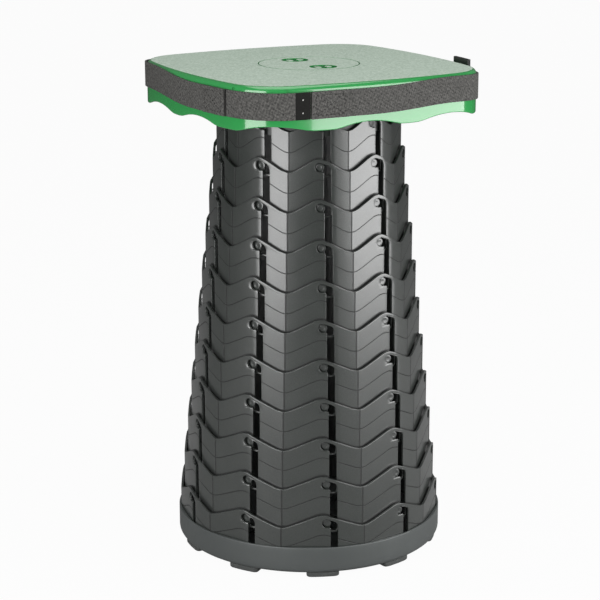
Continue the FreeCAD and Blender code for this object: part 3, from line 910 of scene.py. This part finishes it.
def plug_grids():
    """Each plug is a disc with a soft rim, with two raised ovals side by side on it."""
    turn = np.linspace(0, 2 * math.pi, 49)
    top = SEAT_TOP - PLUG_SINK
    disc = [(0.0, top - PLUG_THICK), (PLUG_RADIUS, top - PLUG_THICK), (PLUG_RADIUS, top - 0.5)]
    disc += [(PLUG_RADIUS - 0.2, top - 0.12), (PLUG_RADIUS - 0.6, top), (0.0, top)]
    oval = [(1.0, top - 0.2), (1.0, top + 0.4), (0.93, top + 0.7), (0.8, top + 0.85), (0.0, top + 0.9)]
    middles = [sign * PLUG_Y for sign in (1, -1)]
    discs = [turned(disc, 0.0, middle, turn) for middle in middles]
    ovals = [
        turned(oval, side * OVAL_APART / 2, middle, turn, OVAL_ACROSS, OVAL_ALONG)
        for middle in middles for side in (1, -1)
    ]
    return discs, ovals


gloss = Finish("plug_plastic", IOR=1.5, Coat_Roughness=0.05)
gloss.set(
    Base_Color=gloss.mix(gloss.noise(60, 3.0, 0.6), (0.010, 0.140, 0.030, 1), (0.014, 0.180, 0.040, 1)),
    Roughness=gloss.noise(90, 3.0, 0.6) * 0.1 + 0.2,
)
discs, ovals = plug_grids()
weld("plug_discs", discs, gloss.material, "seat", None, ["cap_plugs"])
# The ovals' tops take the seat top's painted sheen.
weld("plug_ovals", ovals, green.material, "seat")

# Screws. Four plated hexagon-head screws come up through the innermost ring's flange into
# the cap and clamp the seat between them. They show only from inside the column.
steel = Finish("screw_steel", Metallic=1.0)
brush = steel.noise(700, 3.0, 0.7)
steel.set(
    Base_Color=steel.mix(brush, (0.46, 0.46, 0.45, 1), (0.62, 0.62, 0.60, 1)),
    Roughness=brush * 0.2 + 0.25,
)
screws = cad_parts["seat_screws"]
screws.data.materials.clear()
screws.data.materials.append(steel.material)

# Carry strap. Black-grey webbing lies round the skirt in two lengths. The long one is folded
# back at both ends and sewn down with a box and a cross, and the short one closes the loop
# between them, ending in a black bar that paints the shade cast on it by the long one's raised
# end. It creeps up the skirt at two corners.
STRAP_HIGH = SEAT_TOP - 5.2
STRAP_WIDTH = 23.0
STRAP_GAP = 0.3
WEB = 1.6
TAU = 2 * math.pi
SHORT_START = math.radians(-147.5)
SHORT_END = math.radians(-118.6)
FOLD_BACK = 34.0
FOLD_THICK = 1.1
STRAP_JOINT = 0.8
SEAM = 1.6
SHADE_BAR_LENGTH = 13.5
CREEP = ((math.radians(150), 0.42, 4.6), (math.radians(-58), 0.3, 3.6))

round_seat = np.linspace(-math.pi, math.pi, 4001)
seat_x, seat_y = seat_line(round_seat, STRAP_GAP)
seat_azimuth = np.unwrap(np.arctan2(seat_y, seat_x))
seat_run = np.concatenate([[0], np.cumsum(np.hypot(np.diff(seat_x), np.diff(seat_y)))])
seat_girth = seat_run[-1]


def run_at(azimuth):
    """Length along the strap, from the back, at an angle round the stool."""
    return float(np.interp(azimuth, seat_azimuth, seat_run))


def on_strap(run, height, proud):
    """A point of the strap by its length along it, its height and its distance outwards;
    near two corners the whole strap lies higher, by a bell curve of the angle."""
    normal = np.interp(run % seat_girth, seat_run, round_seat)
    x, y = seat_line(normal, STRAP_GAP + proud)
    rise = 0
    for azimuth, width, most in CREEP:
        off = (np.arctan2(y, x) - azimuth + math.pi) % TAU - math.pi
        rise = rise + most * np.exp(-((off / width) ** 2))
    return np.stack([x, y, height + rise], -1)


def webbing_grid(start, end, lift, thick):
    """The strap's section, a flat rounded strip, carried along its run; both ends close on
    the section's middle. Lift is how far the strip's back lies off the skirt."""
    run = np.linspace(start, end, max(3, int((end - start) / 2.5)))
    run = np.concatenate([[start, start, start + 0.15], run[1:-1], [end - 0.15, end, end]])
    share = np.array([0, 0.8, 1.0] + [1.0] * (len(run) - 6) + [1.0, 0.8, 0])
    turn = np.linspace(0, math.pi, 7)
    half, corner = STRAP_WIDTH / 2, 0.45
    across = np.concatenate([
        [half - corner + corner * math.sin(t) for t in turn],
        np.linspace(half - corner, corner - half, 12)[1:-1],
        [corner - half - corner * math.sin(t) for t in turn],
        np.linspace(corner - half, half - corner, 12)[1:-1],
        [half - corner],
    ])
    out = np.concatenate([
        [thick / 2 - thick / 2 * math.cos(t) for t in turn], np.full(10, thick),
        [thick / 2 + thick / 2 * math.cos(t) for t in turn], np.full(10, 0.0), [0.0],
    ])
    middle = STRAP_HIGH - half
    sway = 0.25 * np.sin(run / 31.0) + 0.15 * np.sin(run / 13.7 + 1.0)
    height = middle + sway[:, None] + share[:, None] * across
    proud = lift + thick / 2 + share[:, None] * (out - thick / 2)
    grid = on_strap(run[:, None] + 0 * across, height, proud)
    uv = np.stack([run[:, None] + 0 * across, across + 0 * run[:, None]], -1) * MM
    return grid, uv


def stitch_grids(path, proud, thick=0.42, length=2.6, gap=1.0):
    """A row of stitches along straight runs of (length, height) points: each a short thread
    that rises out of the webbing and dips back in."""
    grids = []
    for (run0, up0), (run1, up1) in zip(path[:-1], path[1:]):
        reach = math.hypot(run1 - run0, up1 - up0)
        count = max(1, int(round(reach / (length + gap))))
        along = (np.arange(count)[:, None] + np.linspace(0.12, 0.88, 6)) / count
        rise = np.sin(np.linspace(0, math.pi, 6)) ** 0.5
        turn = np.linspace(0, 2 * math.pi, 7)
        side_run, side_up = -(up1 - up0) / reach, (run1 - run0) / reach
        radius = thick / 2 * np.array([0.2, 0.9, 1.0, 1.0, 0.9, 0.2])
        side = radius[:, None] * np.cos(turn)
        lift = proud - thick * 0.35 + (thick * 0.45 * rise)[:, None] + radius[:, None] * np.sin(turn)
        run = run0 + (run1 - run0) * along[..., None] + side * side_run
        up = up0 + (up1 - up0) * along[..., None] + side * side_up
        grids.append(on_strap(run, up, lift + 0 * run))
    return grids


def box_and_cross(start, end, proud):
    """A sewn box with its two diagonals, 3 mm in from the strap's edges."""
    low, high = STRAP_HIGH - STRAP_WIDTH + 3, STRAP_HIGH - 3
    box = [(start, low), (end, low), (end, high), (start, high), (start, low)]
    grids = stitch_grids(box, proud)
    for cross in ([(start, low), (end, high)], [(start, high), (end, low)]):
        grids += stitch_grids(cross, proud)
    return grids


webbing = Finish("strap_webbing", Roughness=0.85, Specular_IOR_Level=0.25)
along, across = webbing.across("webbing")


def wave_of(signal, pitch):
    """A sine of a length, from 0 to 1, that repeats every pitch."""
    angle = signal * (TAU / pitch)
    return webbing.node("ShaderNodeMath", {"operation": "SINE"}, {0: angle}) * 0.5 + 0.5


rows = wave_of(across + along * 0.6, 0.0030)
picks = wave_of(along - across * 0.35, 0.0024)
threads = rows * 0.5 + picks * 0.5
web_place = webbing.node("ShaderNodeUVMap", {"uv_map": "webbing"}, {})
fuzz = webbing.noise(450, 4.0, 0.85, where=web_place)
worn = webbing.noise(60, 3.0, 0.6, where=web_place)
tone = threads * 0.3 + fuzz.between(0.35, 0.65) * 0.7
web_colour = webbing.mix(tone, (0.006, 0.006, 0.006, 1), (0.105, 0.103, 0.097, 1))
web_colour = webbing.mix(worn.between(0.35, 0.7) * 0.25, web_colour, (0.040, 0.039, 0.036, 1))
webbing.set(Base_Color=web_colour, Normal=webbing.relief(threads * 0.00022 + fuzz * 0.00012))

black_thread_and_shade = Finish("black_thread_and_shade", Roughness=0.9, Specular_IOR_Level=0.15)
black_fuzz = black_thread_and_shade.noise(900)
black_thread_and_shade.set(
    Base_Color=black_thread_and_shade.mix(black_fuzz, (0.003, 0.003, 0.003, 1), (0.012, 0.012, 0.011, 1)),
)
thread_pale = Finish("thread_pale", Roughness=0.7)
pale_fuzz = thread_pale.noise(900)
thread_pale.set(
    Base_Color=thread_pale.mix(pale_fuzz, (0.55, 0.55, 0.53, 1), (0.8, 0.8, 0.78, 1)),
)

short_from, short_to = run_at(SHORT_START), run_at(SHORT_END)
long_from, long_to = short_to + STRAP_JOINT, short_from - STRAP_JOINT + seat_girth
strip, strip_uv = webbing_grid(long_from, long_to, 0.0, WEB)
fold_a, fold_a_uv = webbing_grid(long_from, long_from + FOLD_BACK, WEB - 0.05, FOLD_THICK)
fold_b, fold_b_uv = webbing_grid(long_to - FOLD_BACK, long_to, WEB - 0.05, FOLD_THICK)
weld("strap_long_webbing", [strip, fold_a, fold_b], webbing.material, "seat",
     [strip_uv, fold_a_uv, fold_b_uv], ["strap_long"], layer="webbing")
short, short_uv = webbing_grid(short_from + SEAM, short_to, 0.0, WEB)
weld("strap_short_webbing", [short], webbing.material, "seat", [short_uv],
     ["strap_short"], layer="webbing")

sewn = box_and_cross(long_from + 4, long_from + FOLD_BACK - 4, WEB + 1.05)
sewn += box_and_cross(long_to - FOLD_BACK + 4, long_to - 4, WEB + 1.05)
weld("strap_stitches", sewn, black_thread_and_shade.material, "seat")
seam, _ = webbing_grid(short_from - 2.8, short_from + SEAM + 2.0, 0.0, 0.6)
# Painted shade: a black bar over the short length's end, where the long length's raised end casts its
# shadow.
shade_bar, _ = webbing_grid(short_to - SHADE_BAR_LENGTH, short_to - 0.6, WEB - 0.3, 0.7)
weld("strap_seam_and_shade_bar", [seam, shade_bar], black_thread_and_shade.material, "seat")
ends = []
for down in (6.5, 17.5):
    high, low = STRAP_HIGH - down + 1.0, STRAP_HIGH - down - 1.0
    ends += stitch_grids([(short_to - 7.4, low), (short_to - 7.0, high)], WEB + 0.4, 0.7)
weld("strap_thread_ends", ends, thread_pale.material, "seat")

# Strap slider. A moulded black frame with a bar across it, threaded on the strap, that takes
# up the slack. Its top stands a little above the seat.
black_plastic = Finish("slider_plastic", IOR=1.5)
black_cloud = black_plastic.noise(45, 3.0, 0.6)
black_plastic.set(
    Base_Color=black_plastic.mix(black_cloud, (0.010, 0.010, 0.010, 1), (0.022, 0.022, 0.022, 1)),
    Roughness=black_plastic.noise(300, 3.0, 0.6) * 0.15 + 0.35,
    Normal=black_plastic.relief(black_plastic.noise(2600, 2.0, 0.6) * 0.00002),
)
broken_edges(
    "strap_slider", "strap_slider_frame", black_plastic.material, "seat", 0.0006
)
